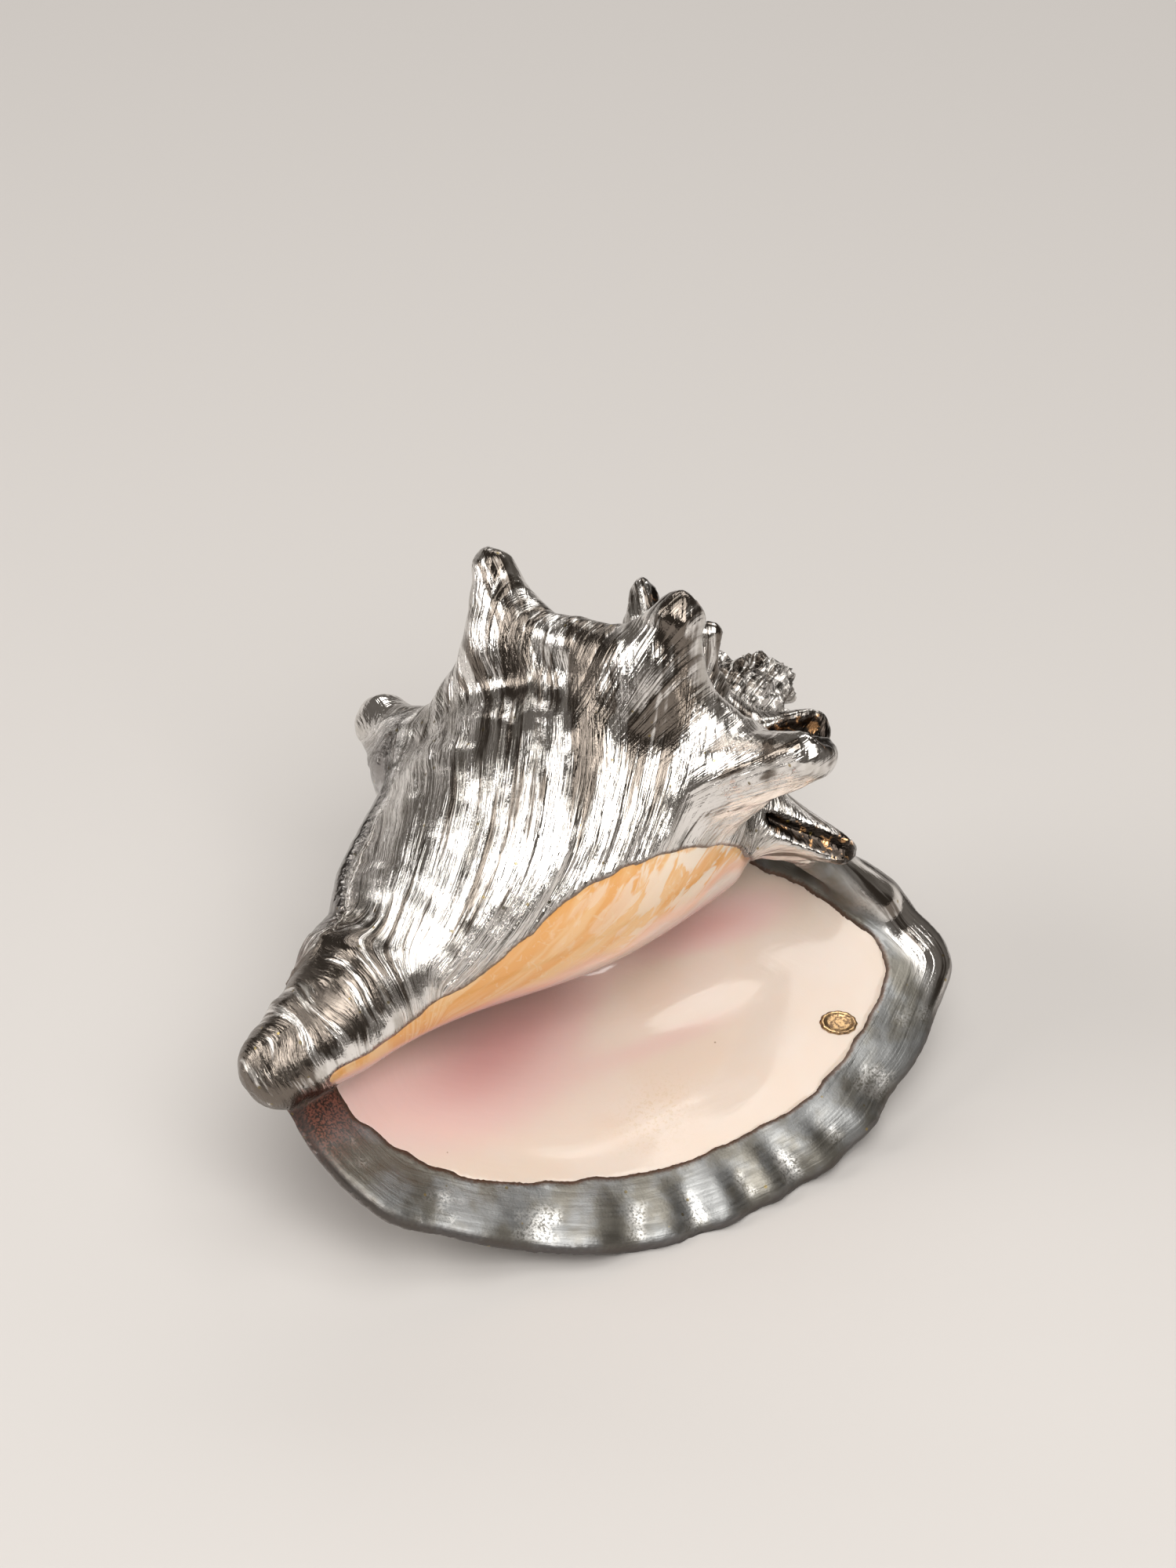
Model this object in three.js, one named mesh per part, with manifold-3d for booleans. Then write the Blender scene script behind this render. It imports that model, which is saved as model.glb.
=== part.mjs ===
// A queen conch shell at rest on its flared lip and two of its dorsal spines.
// Millimetres. Shell frame: X towards the lip, Y dorsal, Z along the axis towards the apex.
// The finished model is turned into the resting frame: +Z up, X to the right, Y to the back.

import * as THREE from "three";
import { mergeVertices } from "three/addons/utils/BufferGeometryUtils.js";
import Module from "manifold-3d";

// ---- driving dimensions -------------------------------------------------------------------

const APEX_Z = 121;             // tip of the spire
const CANAL_Z = -119;           // end of the siphonal canal
const SHOULDER_RADIUS = 74;     // at the newest growth, where the lip leaves the whorl
const SHOULDER_DROP = 113;      // from the apex down to that shoulder
const GROWTH_PER_RADIAN = 0.0951;
const LIP_ANGLE = 20;           // where the newest growth is, degrees from X towards Y
const WHORLS = 5;
const RAMP_SLOPE = 1.25;        // how steeply the whorl falls from its shoulder to the suture
const SHOULDER_ROUND = 9;
const CANAL_RADIUS = [8.5, 14.5];
const CANAL_TAPER = [-118, -82];
const CANAL_ROUND = 10;         // rounding of the canal's end
const SWELL = { top: 1.02, middle: 0.515, width: 0.12 }; // S curve from the canal out
const SWELL_PAST_SHOULDER = 5;
const SIDE_SLOPE = 0.9;         // turns distances from the axis into distances from the side
const INNER_TURN = 70;          // degrees of growth that the hidden inner whorl is behind
const INNER_RANGE = [98, 116];    // where the outer wall closes over the inner whorl

const LIP_THICKNESS = 6;
const LIP_REACH = 126;          // widest distance of the lip's edge from the axis
const LIP_MIDDLE_Z = 18;
const LIP_HALF_HEIGHT = 150;
const LIP_EDGE_Y = -33;         // how far the lip's edge flares to the ventral side
const LIP_EDGE_CURL = 20;       // how much less it does so at its two ends
const LIP_CURL = { z: 25, reach: 135 };
const LIP_END_POWER = 2.5;      // how bluntly the lip's reach falls off towards its two ends
const LIP_END_LEAST = 0.04;
const FLARE_POWER = 0.92;       // below 1 the lip turns outwards sooner
const LIP_SLOPE = 0.8;          // turns heights over the lip into distances from it
const LIP_EDGE_ROUND = { face: 1.5, rim: 3, slope: 0.9 };
const DOME_FALL = 0.72;         // slope of the dorsal side above the shoulder
const DOME_ROUND = 14;

// How much the left flank swells or is drawn in: [height, offset], and where it is, in degrees.
const FLANK = [
  [-119, 0], [-100, 1.5], [-84, 0.5], [-72, 2.6], [-62, -2.6], [-48, -2.2], [-30, -6],
  [-15, -5.8], [-4, -4], [25, -4], [45, 0],
];
const FLANK_RANGE = [80, 120, 215, 262];
const FLANK_ON_LIP = [-10, 30]; // x, where the lip's dome leaves the flank
const FLANK_SHARE = 0.85;

const BLEND = { lip: 7, spine: 12, web: 14, whorl: 3 };

// Outline of the lip and of the wall behind it, seen from the ventral side: [x, z].
const LIP_OUTLINE = [
  [-4, -96], [8, -106], [27, -113], [52, -111], [69, -98], [84, -84], [100, -65], [113, -42],
  [121, -14], [126, 22], [119, 60], [108, 87], [98, 97], [80, 98], [62, 94], [40, 88],
  [14, 78], [-30, 44], [-40, 0], [-28, -60],
];

// Spines: angle round the axis, tip and root as [distance from the axis, height], thickness.
const SPINES = [
  { angle: 126, tip: [86, 17], root: [44, 6], radius: [17, 9] },
  { angle: 176, tip: [83, 47], root: [36, 30], radius: [12, 7] },
  { angle: 230, tip: [79, 57], root: [38, 36], radius: [16, 8] },
  { angle: 271, tip: [87, 57], root: [36, 44], radius: [15, 7.5] },
  { angle: 318, tip: [62, 76], root: [26, 64], radius: [9, 4.5] },
  { angle: 76, tip: [102, 8], root: [46, 6], radius: [18, 8] },
  { angle: 40, tip: [84, 34], root: [50, 18], radius: [15, 7] },
  { angle: 280, tip: [46, 86], root: [22, 70], radius: [10, 6.5] },
  { angle: 165, tip: [47, 93], root: [22, 66], radius: [10, 5] },
  { angle: 222, tip: [44, 82], root: [20, 70], radius: [6, 3] },
  { angle: 110, tip: [50, 78], root: [24, 64], radius: [9, 4.5] },
  { angle: 55, tip: [46, 84], root: [22, 68], radius: [8, 4.5] },
];

// Ridges of the shoulder that run from spine to spine: [angle, distance from axis, height].
const WEB_RADIUS = 8;
const WEBS = [
  [[176, 66, 38], [230, 62, 50]],
  [[126, 62, 12], [176, 62, 34]],
  [[230, 56, 50], [271, 52, 58]],
  [[76, 62, 10], [126, 62, 10]],
];

// The sheet that joins the back end of the lip to the body, from point to point.
const BACK_SHEET = { from: [26, -20, 68], to: [72, -25, 88], radius: [7, 4] };

// The resting pose, and how high the shell's own origin is above the surface it rests on.
const REST_TURN = [-76.6, 44.6, 45.2];
const REST_HEIGHT = 80;

// The small plaque glued inside the lip.
const PLAQUE_PLACE = [94, 50];  // [x, z] in the shell frame
const PLAQUE_SIZE = [12, 8, 1];
const PLAQUE_GAP = 0.9;

const CELL = [6.5, 4, 6.5];         // spacing of the grid that the skin is drawn on
const LAYER_START = -40;        // height of the grid's middle layer above the lip it follows
const SETTLE_LIMIT = 1.6;
const SETTLE_STEP = 0.5;
const LEAST_SLOPE = 0.2;
const CORNER_FILL = -0.3;
const GRID_LOW = [-106, -116, -131];
const GRID_HIGH = [140, 122, 133];

// ---- small maths --------------------------------------------------------------------------

const { clamp, smoothstep, degToRad } = THREE.MathUtils;

function softMin(a, b, width) {
  const h = clamp(0.5 + (0.5 * (b - a)) / width, 0, 1);
  return b + (a - b) * h - width * h * (1 - h);
}

function softMax(a, b, width) {
  return -softMin(-a, -b, width);
}

function aroundAxis(angle, distance, height) {
  const a = degToRad(angle);
  return new THREE.Vector3(distance * Math.cos(a), distance * Math.sin(a), height);
}

// ---- the whorls ---------------------------------------------------------------------------

// Growth shrinks by the same ratio for every radian back from the lip: a log spiral.
function shoulderAt(turn) {
  const scale = Math.exp(-GROWTH_PER_RADIAN * turn);
  return { scale, radius: SHOULDER_RADIUS * scale, z: APEX_Z - SHOULDER_DROP * scale };
}

// Radius of the whorl below its shoulder, narrowing in an S curve to the siphonal canal.
function bodyRadius(z, shoulder) {
  const t = (z - CANAL_Z) / (shoulder.z - CANAL_Z);
  const swell = SWELL.top / (1 + Math.exp((SWELL.middle - t) / SWELL.width));
  const taper = smoothstep(z, CANAL_TAPER[0], CANAL_TAPER[1]);
  const canal = CANAL_RADIUS[0] + (CANAL_RADIUS[1] - CANAL_RADIUS[0]) * taper;
  return canal + (shoulder.radius - canal) * swell;
}

function whorl(r, z, turn) {
  const shoulder = shoulderAt(turn);
  const height = Math.min(z, shoulder.z + SWELL_PAST_SHOULDER);
  const side = SIDE_SLOPE * (r - bodyRadius(height, shoulder));
  const ramp = (r - shoulder.radius + (z - shoulder.z) * RAMP_SLOPE) / Math.hypot(1, RAMP_SLOPE);
  return softMax(side, ramp, SHOULDER_ROUND * Math.max(shoulder.scale, 0.1));
}

function flankOffset(z) {
  const next = FLANK.findIndex(([height]) => height > z);
  if (next <= 0) return 0;
  const [[z0, offset0], [z1, offset1]] = FLANK.slice(next - 1, next + 1);
  return THREE.MathUtils.mapLinear(z, z0, z1, offset0, offset1);
}

function flank(z, angle) {
  const [a, b, c, d] = FLANK_RANGE;
  return FLANK_SHARE * flankOffset(z) * smoothstep(angle, a, b) * (1 - smoothstep(angle, c, d));
}

// The coiled body: outer whorl, the inner whorl behind the aperture, and the spire.
function body(x, y, z) {
  const r = Math.hypot(x, y);
  const angle = (THREE.MathUtils.radToDeg(Math.atan2(y, x)) + 360) % 360;
  let solid;
  if (angle > INNER_RANGE[1]) {
    solid = whorl(r, z, degToRad(angle - LIP_ANGLE));
  } else {
    const extra = INNER_TURN * smoothstep(angle, 0, 60);
    const inner = whorl(r, z, degToRad(angle + 360 - LIP_ANGLE + extra));
    const outer = whorl(r, z, degToRad(Math.max(angle - LIP_ANGLE, 0)));
    const share = smoothstep(angle, INNER_RANGE[0], INNER_RANGE[1]);
    solid = inner + (outer - inner) * share;
  }
  const back = angle < LIP_ANGLE ? angle + 360 - LIP_ANGLE : angle - LIP_ANGLE;
  for (let n = 1; n < WHORLS; n += 1) {
    solid = softMin(solid, whorl(r, z, degToRad(back + 360 * n)), BLEND.whorl);
  }
  return softMax(solid - flank(z, angle), CANAL_Z - z, CANAL_ROUND);
}

// ---- the flared lip and the dorsal wall ----------------------------------------------------

const outline = new THREE.CatmullRomCurve3(
  LIP_OUTLINE.map(([x, z]) => new THREE.Vector3(x, 0, z)), true, "catmullrom", 0.5,
).getPoints(LIP_OUTLINE.length * 8).slice(0, -1);

// Signed distance from the lip's outline in the XZ plane, less than zero inside it.
function outlineDistance(x, z) {
  let nearest = Infinity;
  let inside = false;
  for (let i = 0; i < outline.length; i += 1) {
    const a = outline[i];
    const b = outline[(i + 1) % outline.length];
    const ex = b.x - a.x;
    const ez = b.z - a.z;
    const t = clamp(((x - a.x) * ex + (z - a.z) * ez) / (ex * ex + ez * ez), 0, 1);
    nearest = Math.min(nearest, Math.hypot(x - a.x - t * ex, z - a.z - t * ez));
    if ((a.z > z) !== (b.z > z) && x < (ex * (z - a.z)) / ez + a.x) inside = !inside;
  }
  return inside ? -nearest : nearest;
}

function domeHeight(z) {
  const shoulder = shoulderAt(degToRad(90 - LIP_ANGLE));
  const below = bodyRadius(Math.min(z, shoulder.z + SWELL_PAST_SHOULDER), shoulder);
  return softMin(below, shoulder.radius - (z - shoulder.z) * DOME_FALL, DOME_ROUND);
}

// Height of the lip's outer face: a dome over the axis that flares out flat at the edge.
function lipHeight(x, z) {
  const dome = domeHeight(z) + flankOffset(z) * (1 - smoothstep(x, ...FLANK_ON_LIP));
  if (x < 0) return Math.sqrt(Math.max(dome * dome - x * x, 1));
  const towardsEnd = Math.abs((z - LIP_MIDDLE_Z) / LIP_HALF_HEIGHT) ** LIP_END_POWER;
  const span = Math.max(1 - towardsEnd, LIP_END_LEAST);
  const s = clamp(x / (LIP_REACH * Math.sqrt(span)), 0, 1);
  const edge = LIP_EDGE_Y + LIP_EDGE_CURL * ((z - LIP_CURL.z) / LIP_CURL.reach) ** 2;
  return edge + (dome - edge) * 0.5 * (1 + Math.cos(Math.PI * s ** FLARE_POWER));
}

function lip(y, column) {
  const outer = LIP_SLOPE * (y - column.height);
  const inner = LIP_SLOPE * (column.height - LIP_THICKNESS - y);
  const face = softMax(outer, inner, LIP_EDGE_ROUND.face);
  return softMax(face, LIP_EDGE_ROUND.slope * column.outline, LIP_EDGE_ROUND.rim);
}

// ---- spines -------------------------------------------------------------------------------

// A straight limb with a round section whose radius changes from one end to the other.
function makeLimb(from, to, radiusFrom, radiusTo) {
  const along = to.clone().sub(from);
  const length2 = along.lengthSq();
  const p = new THREE.Vector3();
  return (x, y, z) => {
    p.set(x, y, z).sub(from);
    const t = clamp(p.dot(along) / length2, 0, 1);
    return p.addScaledVector(along, -t).length() - THREE.MathUtils.lerp(radiusFrom, radiusTo, t);
  };
}

const spines = SPINES.map((s) => makeLimb(
  aroundAxis(s.angle, ...s.root), aroundAxis(s.angle, ...s.tip), ...s.radius,
));
const webs = WEBS.map(([a, b]) => makeLimb(
  aroundAxis(...a), aroundAxis(...b), WEB_RADIUS, WEB_RADIUS,
));

const backSheet = makeLimb(
  new THREE.Vector3(...BACK_SHEET.from), new THREE.Vector3(...BACK_SHEET.to),
  ...BACK_SHEET.radius,
);

// Less than zero inside the shell.
function shell(x, y, z, column) {
  let solid = softMin(body(x, y, z), lip(y, column), BLEND.lip);
  for (const web of webs) solid = softMin(solid, web(x, y, z), BLEND.web);
  for (const spine of spines) solid = softMin(solid, spine(x, y, z), BLEND.spine);
  return softMin(solid, backSheet(x, y, z), BLEND.spine);
}

// ---- drawing the skin ----------------------------------------------------------------------

// The grid is sheared to follow the lip, so that the thin lip lies flat between its layers.
function gridLift(x, z) {
  return lipHeight(Math.max(x, 0), z) - LIP_THICKNESS / 2;
}

// Where solid meets solid only across a corner, the corner is filled, so that no two walls of
// the skin share an edge.
function fillCorners(values, count) {
  const strides = [count[1] * count[2], count[2], 1];
  let changed = true;
  while (changed) {
    changed = false;
    for (let n = 0; n < values.length - strides[0] - strides[1]; n += 1) {
      for (const [u, v] of [[0, 1], [1, 2], [0, 2]]) {
        const square = [n, n + strides[u], n + strides[v], n + strides[u] + strides[v]];
        const [a, b, c, d] = square.map((m) => values[m] < 0);
        if (a === d && b === c && a !== b) {
          const empty = square.filter((m) => values[m] >= 0);
          empty.sort((p, q) => values[p] - values[q]);
          values[empty[0]] = CORNER_FILL;
          changed = true;
        }
      }
    }
  }
}

function makeGrid() {
  const count = GRID_LOW.map((low, i) => Math.ceil((GRID_HIGH[i] - low) / CELL[i]));
  const lifts = [];
  const values = new Float64Array(count[0] * count[1] * count[2]);
  const layerAt = (j) => CELL[1] * Math.round(GRID_LOW[1] / CELL[1] + j) + LAYER_START;
  for (let i = 0; i < count[0]; i += 1) {
    lifts.push([]);
    for (let k = 0; k < count[2]; k += 1) {
      const x = GRID_LOW[0] + i * CELL[0];
      const z = GRID_LOW[2] + k * CELL[2];
      const column = { outline: outlineDistance(x, z), height: lipHeight(x, z) };
      const lift = gridLift(x, z);
      lifts[i].push(lift);
      for (let j = 0; j < count[1]; j += 1) {
        values[(i * count[1] + j) * count[2] + k] = shell(x, layerAt(j) + lift, z, column);
      }
    }
  }
  fillCorners(values, count);
  return { count, lifts, values, layerAt };
}

const CORNERS = [0, 1, 2, 3, 4, 5, 6, 7].map((n) => [n & 1, (n >> 1) & 1, (n >> 2) & 1]);
const EDGES = CORNERS.flatMap((a) => [0, 1, 2].filter((axis) => a[axis] === 0).map((axis) => {
  const b = [...a];
  b[axis] = 1;
  return [a, b];
}));

// The shell's field at any point, with the lip's outline and height worked out there.
function shellAt(x, y, z) {
  return shell(x, y, z, { outline: outlineDistance(x, z), height: lipHeight(x, z) });
}

// Moves a point along the slope of the field, by at most SETTLE_LIMIT, on to the true surface.
function settle(p) {
  const d = SETTLE_STEP;
  const slope = new THREE.Vector3(
    shellAt(p.x + d, p.y, p.z) - shellAt(p.x - d, p.y, p.z),
    shellAt(p.x, p.y + d, p.z) - shellAt(p.x, p.y - d, p.z),
    shellAt(p.x, p.y, p.z + d) - shellAt(p.x, p.y, p.z - d),
  ).divideScalar(2 * d);
  const move = -shellAt(p.x, p.y, p.z) / Math.max(slope.lengthSq(), LEAST_SLOPE);
  return p.addScaledVector(slope, clamp(move, -SETTLE_LIMIT, SETTLE_LIMIT));
}

// One vertex in each cell that the surface crosses, at the mean of its edge crossings,
// and one quad round each grid edge that it crosses.
function drawSkin() {
  const { count, lifts, values, layerAt } = makeGrid();
  const at = (i, j, k) => values[(i * count[1] + j) * count[2] + k];
  const place = (i, j, k) => new THREE.Vector3(
    GRID_LOW[0] + i * CELL[0], layerAt(j) + lifts[i][k], GRID_LOW[2] + k * CELL[2],
  );
  const vertexOf = new Map();
  const positions = [];
  for (let i = 0; i < count[0] - 1; i += 1) {
    for (let j = 0; j < count[1] - 1; j += 1) {
      for (let k = 0; k < count[2] - 1; k += 1) {
        const sum = new THREE.Vector3();
        let crossings = 0;
        for (const [a, b] of EDGES) {
          const fa = at(i + a[0], j + a[1], k + a[2]);
          const fb = at(i + b[0], j + b[1], k + b[2]);
          if (fa < 0 === fb < 0) continue;
          const from = place(i + a[0], j + a[1], k + a[2]);
          sum.add(from.lerp(place(i + b[0], j + b[1], k + b[2]), fa / (fa - fb)));
          crossings += 1;
        }
        if (crossings > 0) {
          vertexOf.set(`${i},${j},${k}`, positions.length / 3);
          positions.push(...settle(sum.divideScalar(crossings)).toArray());
        }
      }
    }
  }
  const index = [];
  for (let i = 1; i < count[0] - 1; i += 1) {
    for (let j = 1; j < count[1] - 1; j += 1) {
      for (let k = 1; k < count[2] - 1; k += 1) {
        for (const axis of [0, 1, 2]) {
          const step = [0, 0, 0];
          step[axis] = 1;
          const near = at(i, j, k) < 0;
          if (near === at(i + step[0], j + step[1], k + step[2]) < 0) continue;
          const u = (axis + 1) % 3;
          const v = (axis + 2) % 3;
          const ring = [[1, 1], [0, 1], [0, 0], [1, 0]].map(([du, dv]) => {
            const cell = [i, j, k];
            cell[u] -= du;
            cell[v] -= dv;
            return vertexOf.get(cell.join(","));
          });
          if (!near) ring.reverse();
          index.push(ring[0], ring[1], ring[2], ring[0], ring[2], ring[3]);
        }
      }
    }
  }
  const geometry = new THREE.BufferGeometry();
  geometry.setAttribute("position", new THREE.Float32BufferAttribute(positions, 3));
  geometry.setIndex(index);
  return geometry;
}

// ---- joining and cutting -------------------------------------------------------------------

const wasm = await Module();
wasm.setup();

function toSolid(geometry) {
  const bare = geometry.clone();
  bare.deleteAttribute("normal");
  bare.deleteAttribute("uv");
  const merged = mergeVertices(bare, 1e-4);
  return new wasm.Manifold(new wasm.Mesh({
    numProp: 3,
    vertProperties: new Float32Array(merged.attributes.position.array),
    triVerts: new Uint32Array(merged.index.array),
  }));
}

function toGeometry(solid) {
  const { vertProperties, triVerts } = solid.getMesh();
  const geometry = new THREE.BufferGeometry();
  geometry.setAttribute("position", new THREE.BufferAttribute(vertProperties, 3));
  geometry.setIndex(new THREE.BufferAttribute(triVerts, 1));
  return geometry;
}

// ---- the pieces ----------------------------------------------------------------------------

const turn = new THREE.Euler(...REST_TURN.map(degToRad), "XYZ");
const rest = new THREE.Matrix4().makeRotationFromEuler(turn);
rest.setPosition(0, 0, REST_HEIGHT);

// What the shell rests on is worn flat, level with the surface under it.
function makeShell() {
  const skin = drawSkin().applyMatrix4(rest);
  const floor = new THREE.BoxGeometry(600, 600, 100).translate(0, 0, -50);
  return toGeometry(toSolid(skin).subtract(toSolid(floor)));
}

function makePlaque() {
  const [width, height, thickness] = PLAQUE_SIZE;
  const [x, z] = PLAQUE_PLACE;
  const face = (px, pz) => lipHeight(px, pz) - LIP_THICKNESS;
  const slopeX = face(x + 5, z) - face(x - 5, z);
  const slopeZ = face(x, z + 5) - face(x, z - 5);
  const out = new THREE.Vector3(slopeX, -10, slopeZ).normalize();
  const oval = new THREE.Shape().absellipse(0, 0, width / 2, height / 2, 0, 2 * Math.PI);
  const blank = new THREE.ExtrudeGeometry(oval, {
    depth: thickness, bevelEnabled: false, curveSegments: 20,
  });
  const facing = new THREE.Quaternion().setFromUnitVectors(new THREE.Vector3(0, 0, 1), out);
  blank.applyQuaternion(facing);
  blank.translate(x + out.x * PLAQUE_GAP, face(x, z) + out.y * PLAQUE_GAP, z + out.z * PLAQUE_GAP);
  return blank.applyMatrix4(rest);
}

const silver = new THREE.MeshStandardMaterial({ color: 0xc9c5c0, roughness: 0.18, metalness: 1 });
const gilt = new THREE.MeshStandardMaterial({ color: 0xb08a55, roughness: 0.4, metalness: 1 });

function namedMesh(name, geometry, material) {
  const mesh = new THREE.Mesh(geometry, material);
  mesh.name = name;
  return mesh;
}

// The origin is under the middle of the shell, on the surface it rests on.
const pieces = new THREE.Group();
pieces.add(namedMesh("shell", makeShell(), silver));
pieces.add(namedMesh("seal", makePlaque(), gilt));
const box = new THREE.Box3().setFromObject(pieces);
const middle = box.getCenter(new THREE.Vector3());
pieces.position.set(-middle.x, -middle.y, 0);

export default pieces;
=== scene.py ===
"""A queen conch shell, silver-plated outside and bare glossy porcelain inside.

The shell is one implicit surface, worked out in millimetres in the shell's own frame: X towards
the lip, Y dorsal, Z along the axis towards the apex. It is then turned into the resting frame.
"""
import math

import bpy
import numpy as np
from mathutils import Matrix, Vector


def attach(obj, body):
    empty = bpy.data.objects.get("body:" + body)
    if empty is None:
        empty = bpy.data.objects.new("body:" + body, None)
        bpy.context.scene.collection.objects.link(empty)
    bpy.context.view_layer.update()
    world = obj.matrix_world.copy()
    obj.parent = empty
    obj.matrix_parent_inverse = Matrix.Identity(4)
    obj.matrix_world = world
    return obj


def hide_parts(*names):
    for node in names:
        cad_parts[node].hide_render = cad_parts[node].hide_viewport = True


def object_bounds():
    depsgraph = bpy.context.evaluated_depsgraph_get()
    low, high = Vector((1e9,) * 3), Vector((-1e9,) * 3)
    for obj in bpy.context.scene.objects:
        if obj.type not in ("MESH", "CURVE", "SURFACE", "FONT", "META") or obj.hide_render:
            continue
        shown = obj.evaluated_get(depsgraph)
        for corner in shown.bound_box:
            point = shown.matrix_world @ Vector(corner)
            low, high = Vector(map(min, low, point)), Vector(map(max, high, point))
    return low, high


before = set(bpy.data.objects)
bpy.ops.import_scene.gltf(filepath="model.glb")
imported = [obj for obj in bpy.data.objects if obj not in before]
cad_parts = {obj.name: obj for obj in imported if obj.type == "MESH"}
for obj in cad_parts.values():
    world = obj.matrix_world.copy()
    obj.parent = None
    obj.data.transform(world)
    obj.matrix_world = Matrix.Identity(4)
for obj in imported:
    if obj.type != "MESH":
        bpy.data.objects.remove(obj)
cad_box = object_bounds()

# ---- driving dimensions of the shell, the same as the CAD's ---------------------------------

APEX_Z = 121.0
CANAL_Z = -119.0
SHOULDER_RADIUS = 74.0
SHOULDER_DROP = 113.0
GROWTH = 0.0951              # growth of the spiral for each radian
LIP_ANGLE = 20.0             # where the newest growth is, degrees from X towards Y
WHORLS = 5
RAMP_SLOPE = 1.25
SIDE_SLOPE = 0.9
SHOULDER_ROUND = 9.0
SWELL = (1.02, 0.515, 0.12)  # S curve from the canal out: its top, middle and width
SWELL_PAST_SHOULDER = 5
CANAL_RADIUS = (8.5, 14.5)
CANAL_TAPER = (-118.0, -82.0)
CANAL_ROUND = 10
INNER_TURN = 70.0            # degrees of growth that the hidden inner whorl is behind
INNER_RANGE = (98.0, 116.0)  # where the outer wall closes over the inner whorl

LIP_THICKNESS = 6.0
LIP_REACH = 126.0
LIP_MIDDLE_Z = 18.0
LIP_HALF_HEIGHT = 150.0
LIP_EDGE_Y = -33.0
LIP_EDGE_CURL = 20.0
LIP_CURL = (25, 135)         # height of the curl's middle, and how far off it is full
LIP_END_POWER = 2.5          # how bluntly the lip's reach falls off towards its two ends
LIP_END_LEAST = 0.04
LIP_SLOPE = 0.8              # turns heights over the lip into distances from it
LIP_RIM_SLOPE = 0.9
LIP_FACE_ROUND = 1.5
LIP_RIM_ROUND = 3
FLARE_POWER = 0.92
DOME_FALL = 0.72
DOME_ROUND = 14
LIP_OUTLINE = [
    (-4, -96), (8, -106), (27, -113), (52, -111), (69, -98), (84, -84), (100, -65), (113, -42),
    (121, -14), (126, 22), (119, 60), (108, 87), (98, 97), (80, 98), (62, 94), (40, 88),
    (14, 78), (-30, 44), (-40, 0), (-28, -60),
]
# angle round the axis, tip (distance, height), root (distance, height), radius at root and tip
SPINES = [
    (126, (86, 17), (44, 6), (17, 9)),
    (176, (83, 47), (36, 30), (12, 7)),
    (230, (79, 57), (38, 36), (16, 8)),
    (271, (87, 57), (36, 44), (15, 7.5)),
    (318, (62, 76), (26, 64), (9, 4.5)),
    (76, (102, 8), (46, 6), (18, 8)),
    (40, (84, 34), (50, 18), (15, 7)),
    (280, (46, 86), (22, 70), (10, 6.5)),
    (165, (47, 93), (22, 66), (10, 5)),
    (222, (44, 82), (20, 70), (6, 3)),
    (110, (50, 78), (24, 64), (9, 4.5)),
    (55, (46, 84), (22, 68), (8, 4.5)),
]
# how much the left flank is drawn in or swells at each height
FLANK = [(-119, 0.0), (-100, 1.5), (-84, 0.5), (-72, 2.6), (-62, -2.6), (-48, -2.2), (-30, -6.0),
         (-15, -5.8), (-4, -4.0), (25, -4.0), (45, 0.0)]
FLANK_RANGE = (80, 120, 215, 262)  # degrees where it comes in, is full, starts to end, ends
FLANK_ON_LIP = (-10, 30)
FLANK_SHARE = 0.85
WEB_RADIUS = 8.0
WEBS = [
    ((176, 66, 38), (230, 62, 50)),
    ((126, 62, 12), (176, 62, 34)),
    ((230, 56, 50), (271, 52, 58)),
    ((76, 62, 10), (126, 62, 10)),
]
# how softly each kind of part runs into the body
BLEND = {"whorl": 3, "lip": 7, "web": 14, "spine": 12, "knob": 1.5, "hollow": 2.5}
REST_TURN = (-76.6, 44.6, 45.2)
REST_HEIGHT = 80.0
VIEW_ELEVATION = 37.0        # of the camera, and the direction that the open side faces

CELL = 1.42                  # spacing of the fine grid
COARSE = 3                   # fine cells in one coarse cell
NEAR_REACH = 1.6             # coarse cells from the surface within which the fine grid is used
GRID_LOW = (-108.0, -99.0, -129.0)
GRID_HIGH = (135.0, 114.0, 129.0)

# Outline of the bare porcelain, as seen square on to the open side, in millimetres.
LIP_EDGE = [
    (11, -84), (17, -88), (30, -87), (48, -81), (62, -72), (78, -55), (90, -38), (97, -26),
    (102, -13), (106, 3), (109, 18), (109, 34), (106, 46), (101, 59), (96, 68), (86, 72),
    (76, 70), (63, 66), (53, 62), (47, 58),
]
CALLUS_EDGE = [
    (39, 55.5), (32, 53), (23, 40), (17, 24), (14, 7), (14.5, -7), (15, -23), (15.5, -35),
    (13.5, -47), (13.5, -58), (13, -72),
]
HIDDEN_EDGE = [(38, 56), (22, 50), (-20, 35), (-50, 0), (-45, -60), (-5, -90)]

MM = 0.001


# ---- small maths ----------------------------------------------------------------------------

def soft_min(a, b, width):
    h = np.clip(0.5 + 0.5 * (b - a) / width, 0, 1)
    return b + (a - b) * h - width * h * (1 - h)


def soft_max(a, b, width):
    return -soft_min(-a, -b, width)


def smoothstep(low, high, x):
    t = np.clip((x - low) / (high - low), 0, 1)
    return t * t * (3 - 2 * t)


def around_axis(angle, distance, height):
    a = math.radians(angle)
    return np.array([distance * math.cos(a), distance * math.sin(a), height])


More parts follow.
